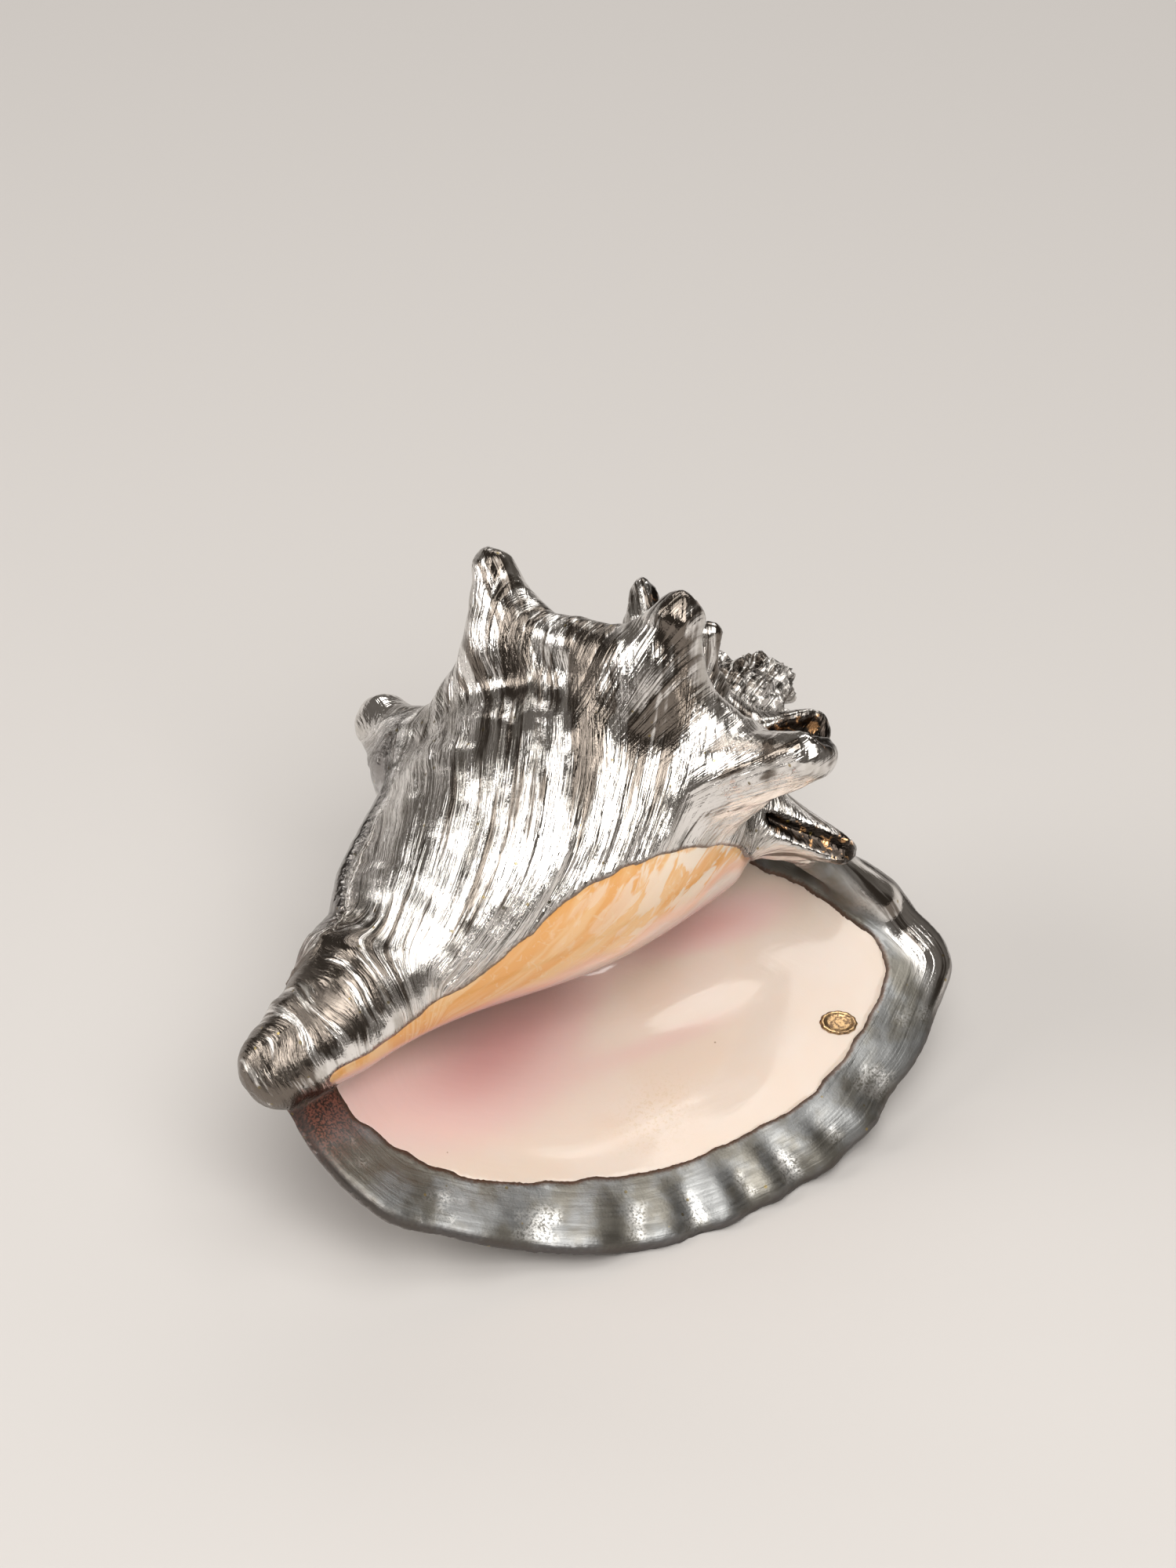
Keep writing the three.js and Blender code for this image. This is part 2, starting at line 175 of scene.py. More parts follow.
def value_noise(p, seed=0):
    """Smooth noise between -1 and 1 at each row of p, from a hashed lattice."""
    base = np.floor(p).astype(np.int64)
    t = p - base
    t = t * t * (3 - 2 * t)
    total = np.zeros(len(p))
    for corner in range(8):
        bits = np.array([corner & 1, corner >> 1 & 1, corner >> 2 & 1])
        q = (base + bits).astype(np.uint64)
        h = q[:, 0] * 73856093 ^ q[:, 1] * 19349663 ^ q[:, 2] * 83492791 \
            ^ np.uint64(seed * 2654435761)
        h = (h ^ h >> np.uint64(13)) * np.uint64(1274126177) & np.uint64(0xFFFFFFFF)
        h = (h ^ h >> np.uint64(16)) & np.uint64(0xFFFF)
        weight = np.prod(np.where(bits, t, 1 - t), axis=1)
        total += weight * (h.astype(float) / 32767.5 - 1)
    return total


def catmull(points, steps=8):
    """Points along the smooth closed curve that passes through the given ones."""
    p = np.array(points, float)
    n = len(p)
    t = (np.arange(steps) / steps)[:, None]
    out = []
    for i in range(n):
        a, b, c, d = p[i - 1], p[i], p[(i + 1) % n], p[(i + 2) % n]
        out.append(0.5 * (2 * b + (c - a) * t + (2 * a - 5 * b + 4 * c - d) * t ** 2
                          + (3 * b - a - 3 * c + d) * t ** 3))
    return np.concatenate(out)


def outline_distance(x, y, outline):
    """Signed distance from a closed outline in the plane, less than zero inside it."""
    nearest = np.full(x.shape, np.inf)
    inside = np.zeros(x.shape, bool)
    for (ax, ay), (bx, by) in zip(outline, np.roll(outline, -1, axis=0)):
        ex, ey = bx - ax, by - ay
        t = np.clip(((x - ax) * ex + (y - ay) * ey) / (ex * ex + ey * ey), 0, 1)
        nearest = np.minimum(nearest, (x - ax - t * ex) ** 2 + (y - ay - t * ey) ** 2)
        if ay != by:
            inside ^= ((ay > y) != (by > y)) & (x < ex * (y - ay) / ey + ax)
    nearest = np.sqrt(nearest)
    return np.where(inside, -nearest, nearest)


def limb(p, start, end, radius_start, radius_end):
    along = end - start
    q = p - start
    t = np.clip(q @ along / (along @ along), 0, 1)
    return np.linalg.norm(q - t[:, None] * along, axis=1) - radius_start \
        - (radius_end - radius_start) * t


# ---- the shell's form -----------------------------------------------------------------------

def shoulder_at(turn):
    scale = np.exp(-GROWTH * turn)
    return scale, SHOULDER_RADIUS * scale, APEX_Z - SHOULDER_DROP * scale


def body_radius(z, radius, top):
    t = (z - CANAL_Z) / (top - CANAL_Z)
    high, middle, width = SWELL
    swell = high / (1 + np.exp((middle - t) / width))
    taper = smoothstep(*CANAL_TAPER, z)
    canal = CANAL_RADIUS[0] + (CANAL_RADIUS[1] - CANAL_RADIUS[0]) * taper
    return canal + (radius - canal) * swell


def whorl(r, z, turn):
    scale, radius, top = shoulder_at(turn)
    side = SIDE_SLOPE * (r - body_radius(np.minimum(z, top + SWELL_PAST_SHOULDER), radius, top))
    ramp = (r - radius + (z - top) * RAMP_SLOPE) / math.hypot(1, RAMP_SLOPE)
    return soft_max(side, ramp, SHOULDER_ROUND * np.maximum(scale, 0.1))


def angle_of(p):
    return np.degrees(np.arctan2(p[:, 1], p[:, 0])) % 360


def flank(z, angle):
    heights, offsets = zip(*FLANK)
    low, full, fading, high = FLANK_RANGE
    around = smoothstep(low, full, angle) * smoothstep(high, fading, angle)
    return np.interp(z, heights, offsets) * around


def coiled_body(p):
    """The outer whorl, the inner whorl behind the aperture, and the spire."""
    r = np.hypot(p[:, 0], p[:, 1])
    z = p[:, 2]
    angle = angle_of(p)
    extra = INNER_TURN * smoothstep(0, 60, angle)
    inner = whorl(r, z, np.radians(angle + 360 - LIP_ANGLE + extra))
    outer = whorl(r, z, np.radians(np.maximum(angle - LIP_ANGLE, 0)))
    share = smoothstep(*INNER_RANGE, angle)
    solid = inner + (outer - inner) * share
    back = np.where(angle < LIP_ANGLE, angle + 360, angle) - LIP_ANGLE
    for n in range(1, WHORLS):
        solid = soft_min(solid, whorl(r, z, np.radians(back + 360 * n)), BLEND["whorl"])
    return soft_max(solid - FLANK_SHARE * flank(z, angle), CANAL_Z - z, CANAL_ROUND)


def dome_height(z):
    _, radius, top = shoulder_at(math.radians(90 - LIP_ANGLE))
    below = body_radius(np.minimum(z, top + SWELL_PAST_SHOULDER), radius, top)
    return soft_min(below, radius - (z - top) * DOME_FALL, DOME_ROUND)


LIP_CURVE = catmull(LIP_OUTLINE)
LIP_CENTRE_X = 40            # the lip's lines and undulations run round here
WAVES = 23                   # undulations round the whole lip
WAVE_HEIGHT = 1.25


def lip_wave(x, z, edge):
    """The lip's edge undulates, more strongly towards its rim."""
    turn = np.arctan2(z, x - LIP_CENTRE_X)
    swing = np.sin(WAVES * turn + 1.7 * np.sin(3 * turn)) + 0.5 * np.sin(11 * turn + 1)
    return WAVE_HEIGHT * swing * smoothstep(-26, -4, edge) * smoothstep(20, 60, x)


def lip_height(x, z, edge):
    """Height of the lip's outer face: a dome over the axis that flares out flat at the edge."""
    dome = dome_height(z)
    dome = dome + np.interp(z, *zip(*FLANK)) * smoothstep(*FLANK_ON_LIP[::-1], x)
    arch = np.sqrt(np.maximum(dome * dome - np.minimum(x, 0) ** 2, 1))
    towards_end = np.abs((z - LIP_MIDDLE_Z) / LIP_HALF_HEIGHT) ** LIP_END_POWER
    span = np.maximum(1 - towards_end, LIP_END_LEAST)
    s = np.clip(x / (LIP_REACH * np.sqrt(span)), 0, 1)
    curl_middle, curl_reach = LIP_CURL
    rim = LIP_EDGE_Y + LIP_EDGE_CURL * ((z - curl_middle) / curl_reach) ** 2
    flare = rim + (dome - rim) * 0.5 * (1 + np.cos(np.pi * s ** FLARE_POWER))
    return np.where(x < 0, arch, flare) + lip_wave(x, z, edge)


# The soft fold that swells out of the wall deep in the aperture.
FOLD_CENTRE = (61, 20)
FOLD_DIRECTION = (0.2, 0.98)
FOLD_HEIGHT = 5.8
FOLD_LENGTH = 30
FOLD_WIDTH = (8, 15)         # on its steep side, towards the lip's edge, and on the other


def inner_fold(x, z):
    u, v = x - FOLD_CENTRE[0], z - FOLD_CENTRE[1]
    along = u * FOLD_DIRECTION[0] + v * FOLD_DIRECTION[1]
    across = u * FOLD_DIRECTION[1] - v * FOLD_DIRECTION[0]
    wide = np.where(across > 0, *FOLD_WIDTH)
    return FOLD_HEIGHT * np.exp(-(along / FOLD_LENGTH) ** 2 - (across / wide) ** 2)


def lip_column(x, z):
    """Distance from the lip's outline, and the heights of its outer and inner faces."""
    edge = outline_distance(x, z, LIP_CURVE)
    outer = lip_height(x, z, edge)
    return edge, outer, outer - LIP_THICKNESS - inner_fold(x, z)


def lip_solid(y, column):
    edge, outer, inner = column
    face = soft_max(LIP_SLOPE * (y - outer), LIP_SLOPE * (inner - y), LIP_FACE_ROUND)
    return soft_max(face, LIP_RIM_SLOPE * edge, LIP_RIM_ROUND)


# The sheet that joins the lip's back end to the body, and the folded ridge along it: its two
# ends, the radius at each, and how softly it runs into the body.
BACK_SHEET = ((26, -20, 68), (72, -25, 88), (7, 4), 12)
BACK_RIDGE = ((44, -16, 82), (80, -21, 94), (3.5, 2.5), 4)

# Hollow spines: which, where the hollow starts along it, how far off its middle the hollow is at
# its start and at the tip (both in tip radii), its width there, and the way it faces.
HOLLOWS = [
    (1, 0.55, 2.1, 0.9, 0.75, (0.2, 0.2, 1)), (2, 0.6, 2.1, 0.9, 0.75, (0.1, 0.3, 1)),
    (3, 0.8, 1.3, 0.7, 0.6, (-0.57, -0.57, 0.71)), (4, 0.0, 1.7, 0.5, 0.75, (-0.4, -0.7, -0.5)),
    (5, 0.5, 2.0, 0.8, 0.75, (0, 0, 1)), (6, 0.5, 2.0, 0.8, 0.75, (0, 0, 1)),
    (7, 0.1, 1.2, 0.4, 0.75, (-0.23, -0.86, -0.2)), (8, 0.3, 1.8, 0.6, 0.75, (0.5, -0.8, 0.3)),
]


HOLLOW_START_RADIUS = 1.5
HOLLOW_OVERSHOOT = 6         # how far the hollow runs on past the spine's tip


def hollow_of(p, which, begin, offset_low, offset_high, width, facing):
    angle, tip, root, (_, tip_radius) = SPINES[which]
    end = around_axis(angle, *tip)
    start = around_axis(angle, *root)
    along = (end - start) / np.linalg.norm(end - start)
    side = np.array(facing) - along * (along @ np.array(facing))
    side /= np.linalg.norm(side)
    low = start + (end - start) * begin + side * tip_radius * offset_low
    high = end + along * HOLLOW_OVERSHOOT + side * tip_radius * offset_high
    return limb(p, low, high, HOLLOW_START_RADIUS, tip_radius * width)


def hollows(p):
    """Distance from the nearest hollow, less than zero in it."""
    deepest = np.full(len(p), np.inf)
    for row in HOLLOWS:
        deepest = np.minimum(deepest, hollow_of(p, *row))
    return deepest


KNOB_START = 420             # degrees back from the lip to the first small knob of the spire
KNOB_STEP = 31
KNOB_RADIUS = (1.4, 4.2)     # the smallest, and how much more at full scale
KNOB_SWING = (0.3, 5.1)      # how much their sizes differ, and how fast that goes round


def spire_knobs():
    knobs = []
    for turn in range(KNOB_START, 360 * (WHORLS - 1), KNOB_STEP):
        scale, radius, top = shoulder_at(math.radians(turn))
        swing = 1 + KNOB_SWING[0] * math.sin(KNOB_SWING[1] * turn)
        knobs.append((around_axis(turn + LIP_ANGLE, radius, top + 1),
                      (KNOB_RADIUS[0] + KNOB_RADIUS[1] * scale) * swing))
    return knobs


def shell_solid(p, column):
    """Less than zero inside the shell."""
    solid = soft_min(coiled_body(p), lip_solid(p[:, 1], column), BLEND["lip"])
    for a, b in WEBS:
        web = limb(p, around_axis(*a), around_axis(*b), WEB_RADIUS, WEB_RADIUS)
        solid = soft_min(solid, web, BLEND["web"])
    for angle, tip, root, radii in SPINES:
        spine = limb(p, around_axis(angle, *root), around_axis(angle, *tip), *radii)
        solid = soft_min(solid, spine, BLEND["spine"])
    for centre, radius in spire_knobs():
        solid = soft_min(solid, np.linalg.norm(p - centre, axis=1) - radius, BLEND["knob"])
    for start, end, radii, width in (BACK_SHEET, BACK_RIDGE):
        solid = soft_min(solid, limb(p, np.array(start), np.array(end), *radii), width)
    return soft_max(solid, -hollows(p), BLEND["hollow"])


# ---- from the form to a mesh ----------------------------------------------------------------

def sample_grid():
    """The solid's values on the fine grid. Only points near the surface are worked out there."""
    count = [int(math.ceil((h - l) / (CELL * COARSE))) * COARSE + 1
             for l, h in zip(GRID_LOW, GRID_HIGH)]
    axes = [l + CELL * np.arange(n) for l, n in zip(GRID_LOW, count)]
    gx, gz = np.meshgrid(axes[0], axes[2], indexing="ij")
    columns = lip_column(gx, gz)

    def values(i, j, k):
        p = np.stack([axes[0][i], axes[1][j], axes[2][k]], axis=1)
        return shell_solid(p, tuple(c[i, k] for c in columns))

    spans = [np.arange(0, n, COARSE) for n in count]
    ci, cj, ck = [a.ravel() for a in np.meshgrid(*spans, indexing="ij")]
    coarse = values(ci, cj, ck).reshape([len(s) for s in spans])
    fine = coarse
    for axis in range(3):
        a = np.arange(count[axis]) / COARSE
        low = np.minimum(a.astype(int), fine.shape[axis] - 2)
        shape = [1, 1, 1]
        shape[axis] = -1
        t = (a - low).reshape(shape)
        fine = np.take(fine, low, axis) * (1 - t) + np.take(fine, low + 1, axis) * t
    near = np.abs(fine) < CELL * COARSE * NEAR_REACH
    i, j, k = np.nonzero(near)
    fine[near] = values(i, j, k)
    return fine


FILL_ROUNDS = 20
FILL_VALUE = -0.05


def fill_corners(grid):
    """Fills corners where solid meets solid only across a diagonal, so walls share no edge."""
    solid = grid < 0
    pairs = [((1, 0, 0), (0, 1, 0)), ((0, 1, 0), (0, 0, 1)), ((1, 0, 0), (0, 0, 1))]
    for _ in range(FILL_ROUNDS):
        changed = 0
        for u, v in pairs:
            steps = [(0, 0, 0), u, v, tuple(a + b for a, b in zip(u, v))]
            reach = [steps[3][a] for a in range(3)]
            views = [solid[tuple(slice(s[a], solid.shape[a] - reach[a] + s[a])
                                 for a in range(3))] for s in steps]
            a, b, c, d = views
            crossed = (a == d) & (b == c) & (a != b)
            for n in np.argwhere(crossed):
                spots = [tuple(n + np.array(s)) for s in steps]
                empty = [s for s in spots if not solid[s]]
                if len(empty) == 2:
                    spot = min(empty, key=lambda s: grid[s])
                    solid[spot] = True
                    grid[spot] = FILL_VALUE
                    changed += 1
        if changed == 0:
            return


def draw_skin(grid):
    """Surface nets: a vertex in each cell that the surface crosses, a quad round each edge."""
    solid = grid < 0
    size = np.array(grid.shape)
    inside = np.zeros(size - 1, int)
    corners = [(i, j, k) for i in (0, 1) for j in (0, 1) for k in (0, 1)]
    for i, j, k in corners:
        inside += solid[i:size[0] - 1 + i, j:size[1] - 1 + j, k:size[2] - 1 + k]
    cells = np.argwhere((inside > 0) & (inside < 8))
    number = np.full(size - 1, -1)
    number[tuple(cells.T)] = np.arange(len(cells))
    total = np.zeros((len(cells), 3))
    crossings = np.zeros(len(cells))
    for a in corners:
        for axis in range(3):
            if a[axis]:
                continue
            b = list(a)
            b[axis] = 1
            fa = grid[tuple((cells + a).T)]
            fb = grid[tuple((cells + b).T)]
            hit = (fa < 0) != (fb < 0)
            spot = np.tile(np.array(a, float), (len(cells), 1))
            spot[:, axis] += np.where(hit, fa / np.where(hit, fa - fb, 1), 0)
            total[hit] += spot[hit]
            crossings[hit] += 1
    points = (total / crossings[:, None] + cells) * CELL + np.array(GRID_LOW)
    quads = []
    for axis in range(3):
        u, v = (axis + 1) % 3, (axis + 2) % 3
        near = np.take(solid, range(size[axis] - 1), axis)
        far = np.take(solid, range(1, size[axis]), axis)
        edges = np.argwhere(near != far)
        edges = edges[(edges[:, u] > 0) & (edges[:, v] > 0)
                      & (edges[:, u] < size[u] - 1) & (edges[:, v] < size[v] - 1)]
        ring = []
        for du, dv in ((1, 1), (0, 1), (0, 0), (1, 0)):
            cell = edges.copy()
            cell[:, u] -= du
            cell[:, v] -= dv
            ring.append(number[tuple(cell.T)])
        ring = np.stack(ring, axis=1)
        outward = near[tuple(edges.T)]
        ring[~outward] = ring[~outward][:, ::-1]
        quads.append(ring)
    return points, np.concatenate(quads)


def vertex_normals(points, quads):
    a, b, c, d = (points[quads[:, i]] for i in range(4))
    face = np.cross(c - a, d - b)
    normals = np.zeros_like(points)
    for i in range(4):
        np.add.at(normals, quads[:, i], face)
    return normals / np.maximum(np.linalg.norm(normals, axis=1, keepdims=True), 1e-9)


RELAX_STEPS = (0.5, -0.52)


def relax(points, quads, rounds):
    """Evens out the skin without shrinking it: each pass in is followed by one back out."""
    ends = np.concatenate([quads[:, [0, 1]], quads[:, [1, 2]], quads[:, [2, 3]], quads[:, [3, 0]]])
    count = np.bincount(ends[:, 0], minlength=len(points))[:, None]
    for _ in range(rounds):
        for step in RELAX_STEPS:
            total = np.stack([np.bincount(ends[:, 0], weights=points[ends[:, 1], i],
                                          minlength=len(points)) for i in range(3)], axis=1)
            points = points + step * (total / count - points)
    return points


# ---- where each thing is on the skin --------------------------------------------------------

def turn_matrix():
    x, y, z = (math.radians(a) for a in REST_TURN)
    rx = np.array([[1, 0, 0], [0, math.cos(x), -math.sin(x)], [0, math.sin(x), math.cos(x)]])
    ry = np.array([[math.cos(y), 0, math.sin(y)], [0, 1, 0], [-math.sin(y), 0, math.cos(y)]])
    rz = np.array([[math.cos(z), -math.sin(z), 0], [math.sin(z), math.cos(z), 0], [0, 0, 1]])
    return rx @ ry @ rz


TURN = turn_matrix()
VIEW_TILT = math.radians(VIEW_ELEVATION)
OPEN_DIRECTION = TURN.T @ np.array([0, -math.cos(VIEW_TILT), math.sin(VIEW_TILT)])
OPEN_UP = np.array([0, 0, 1.0]) - OPEN_DIRECTION * OPEN_DIRECTION[2]
OPEN_UP /= np.linalg.norm(OPEN_UP)
OPEN_RIGHT = np.cross(OPEN_UP, OPEN_DIRECTION)


WOBBLE = (0.7, 5.5)          # how much the porcelain's border wanders, and over what length
PLATE_LIMIT = 9.0            # distances from the border are cut off here


def zones(p, normals, column):
    """What each vertex is part of, and the coordinates that its growth lines follow."""
    edge, outer, inner = column
    angle = angle_of(p)
    a, b = p @ OPEN_RIGHT, p @ OPEN_UP
    wobble = WOBBLE[0] * value_noise(p / WOBBLE[1], 1)
    seen = outline_distance(a, b, catmull(LIP_EDGE + CALLUS_EDGE))
    hidden = outline_distance(a, b, catmull(LIP_EDGE + HIDDEN_EDGE))
    facing = smoothstep(-0.1, 0.15, normals @ OPEN_DIRECTION)
    bare = np.where(facing > 0.5, seen, hidden)
    outside = ((angle > INNER_RANGE[1]) & (angle < 250)) | (p[:, 1] > (outer + inner) / 2)
    plate = np.where(outside, PLATE_LIMIT, np.clip(bare + wobble, -PLATE_LIMIT, PLATE_LIMIT))
    on_lip = smoothstep(-3, 3, coiled_body(p) - lip_solid(p[:, 1], column))
    hollow = smoothstep(2.0, 0.6, hollows(p))
    plate = np.where(hollow > 0, PLATE_LIMIT, plate)
    return {"plate": plate, "lip": on_lip, "edge": edge, "angle": angle, "a": a, "b": b,
            "outside": outside, "hollow": hollow, "seen": seen}


SEAM_ANGLE = 58              # where the angle round the axis wraps, under the lip's back
LINES_START = 75             # where the growth lines count from
LINES_RADIUS = 46            # turns angles into distances: round the body,
RAYS_RADIUS = 75             # among the spines,
LIP_LINES_RADIUS = 95        # along the lip
CANAL_LINES_RADIUS = 26      # and round the canal
CANAL_RINGS = (-56, -74)     # heights between which the growth lines turn into rings
RAYS_REACH = (46, 64)        # distances from the axis between which they turn into rays


def unrolled(angle):
    """The angle round the axis in radians, with its wrap at SEAM_ANGLE."""
    return np.radians((angle - SEAM_ANGLE) % 360 - (LINES_START - SEAM_ANGLE))


def growth_lines(p, zone):
    """Distance across the growth lines and along them, in millimetres."""
    angle = unrolled(zone["angle"]) - math.pi
    z = p[:, 2]
    across = LINES_RADIUS * angle + 0.77 * z + 2.2 * value_noise(p / 22, 11)
    along = 0.8 * z - 0.6 * LINES_RADIUS * angle
    canal = smoothstep(*CANAL_RINGS, z)
    across = across * (1 - canal) + (1.15 * z + 5 * value_noise(p / 13, 14)) * canal
    along = along * (1 - canal) + CANAL_LINES_RADIUS * angle * canal
    lip_along = LIP_LINES_RADIUS * np.arctan2(z, p[:, 0] - LIP_CENTRE_X)
    mix = zone["lip"]
    return across * (1 - mix) + zone["edge"] * mix, along * (1 - mix) + lip_along * mix


def relief(p, zone, across, along):
    """Ribs, cords and growth ridges of the plated outside, in millimetres."""
    body = 1 - zone["lip"]
    z, angle = p[:, 2], zone["angle"]

    def lines(width, length, seed):
        return value_noise(np.stack([across / width, along / length, 0 * z + seed], axis=1), seed)

    left = smoothstep(90, 130, angle) * smoothstep(250, 215, angle)
    ribs = 0.8 * lines(6.5, 70, 3) + 0.55 * lines(3.3, 40, 4)
    cords = np.stack([z / 4.6 + 0.25 * np.sin(np.radians(angle)), angle / 60, 0 * z], axis=1)
    cord = value_noise(cords, 5) * (0.2 + left * (0.5 + 0.4 * smoothstep(-50, -75, z)))
    pits = 0.15 * value_noise(p / 3.2, 6) + 0.2 * value_noise(p / 9, 10)
    reach = np.hypot(p[:, 0], p[:, 1])
    spokes = np.stack([RAYS_RADIUS * unrolled(angle) / 4.2, reach / 45, z / 60], axis=1)
    far = smoothstep(*RAYS_REACH, reach)
    ribs = ribs * (1 - 0.7 * far) + 0.8 * value_noise(spokes, 13) * far
    on_top = np.where(zone["outside"], 1.0, body)
    ribs *= 1 - 0.45 * left * smoothstep(10, -20, z) \
        - 0.3 * smoothstep(*CANAL_RINGS, z) * (1 - left)
    return (ribs + cord) * body + pits + 0.5 * lines(4, 50, 7) * zone["lip"] * on_top


def build_skins():
    grid = sample_grid()
    fill_corners(grid)
    points, quads = draw_skin(grid)
    points = relax(points, quads, 2)
    normals = vertex_normals(points, quads)
    column = lip_column(points[:, 0], points[:, 2])
    zone = zones(points, normals, column)
    across, along = growth_lines(points, zone)
    return points, quads, normals, zone, across, along


def to_rest(points, middle):
    """Turns shell-frame millimetres into the frame's metres, and wears the feet flat."""
    turned = points @ TURN.T
    turned[:, :2] -= middle
    turned[:, 2] = np.maximum(turned[:, 2] + REST_HEIGHT, 0)
    return turned * MM


def make_mesh(name, points, quads, attributes):
    mesh = bpy.data.meshes.new(name)
    mesh.vertices.add(len(points))
    mesh.vertices.foreach_set("co", points.astype(np.float32).ravel())
    mesh.loops.add(quads.size)
    mesh.loops.foreach_set("vertex_index", quads.astype(np.int32).ravel())
    mesh.polygons.add(len(quads))
    mesh.polygons.foreach_set("loop_start", np.arange(0, quads.size, 4, dtype=np.int32))
    mesh.polygons.foreach_set("loop_total", np.full(len(quads), 4, dtype=np.int32))
    mesh.update(calc_edges=True)
    mesh.validate()
    mesh.shade_smooth()
    for key, values in attributes.items():
        kind = "FLOAT_VECTOR" if values.ndim == 2 else "FLOAT"
        layer = mesh.attributes.new(key, kind, "POINT")
        layer.data.foreach_set("vector" if values.ndim == 2 else "value",
                               values.astype(np.float32).ravel())
    piece = bpy.data.objects.new(name, mesh)
    bpy.context.scene.collection.objects.link(piece)
    return piece


# ---- materials ------------------------------------------------------------------------------

class Nodes:
    """Short calls for building a node tree."""

    def __init__(self, name):
        self.material = bpy.data.materials.new(name)
        self.material.use_nodes = True
        self.tree = self.material.node_tree
        self.shader = self.tree.nodes["Principled BSDF"]

    def put(self, socket, value):
        if isinstance(value, bpy.types.NodeSocket):
            self.tree.links.new(value, socket)
        elif value is not None:
            socket.default_value = value

    def attribute(self, name, output="Fac"):
        node = self.tree.nodes.new("ShaderNodeAttribute")
        node.attribute_name = name
        return node.outputs[output]

    def object_place(self):
        return self.tree.nodes.new("ShaderNodeTexCoord").outputs["Object"]

    def math(self, operation, a, b=None):
        node = self.tree.nodes.new("ShaderNodeMath")
        node.operation = operation
        self.put(node.inputs[0], a)
        self.put(node.inputs[1], b)
        return node.outputs[0]

    def ramp(self, value, low, high, out_low=0.0, out_high=1.0):
        node = self.tree.nodes.new("ShaderNodeMapRange")
        node.interpolation_type = "SMOOTHSTEP"
        for socket, number in zip(node.inputs, (value, low, high, out_low, out_high)):
            self.put(socket, number)
        return node.outputs[0]

    def mix(self, share, a, b):
        node = self.tree.nodes.new("ShaderNodeMix")
        node.data_type = "RGBA"
        self.put(node.inputs[0], share)
        self.put(node.inputs[6], a)
        self.put(node.inputs[7], b)
        return node.outputs[2]

    def scaled(self, vector, scale):
        node = self.tree.nodes.new("ShaderNodeVectorMath")
        node.operation = "MULTIPLY"
        self.put(node.inputs[0], vector)
        node.inputs[1].default_value = scale
        return node.outputs[0]

    def noise(self, vector, scale=(1, 1, 1), detail=2.0, rough=0.5, distortion=0.0):
        node = self.tree.nodes.new("ShaderNodeTexNoise")
        self.put(node.inputs["Vector"], self.scaled(vector, scale))
        node.inputs["Scale"].default_value = 1.0
        node.inputs["Detail"].default_value = detail
        node.inputs["Roughness"].default_value = rough
        node.inputs["Distortion"].default_value = distortion
        return node.outputs["Fac"]

    def cells(self, vector, scale):
        node = self.tree.nodes.new("ShaderNodeTexVoronoi")
        self.put(node.inputs["Vector"], self.scaled(vector, (scale,) * 3))
        node.inputs["Scale"].default_value = 1.0
        return node.outputs["Distance"], node.outputs["Color"]

    def bump(self, height, strength, distance, normal=None):
        node = self.tree.nodes.new("ShaderNodeBump")
        node.inputs["Strength"].default_value = strength
        node.inputs["Distance"].default_value = distance
        self.put(node.inputs["Height"], height)
        self.put(node.inputs["Normal"], normal)
        return node.outputs["Normal"]

    def set(self, **values):
        for key, value in values.items():
            self.put(self.shader.inputs[key.replace("_", " ")], value)


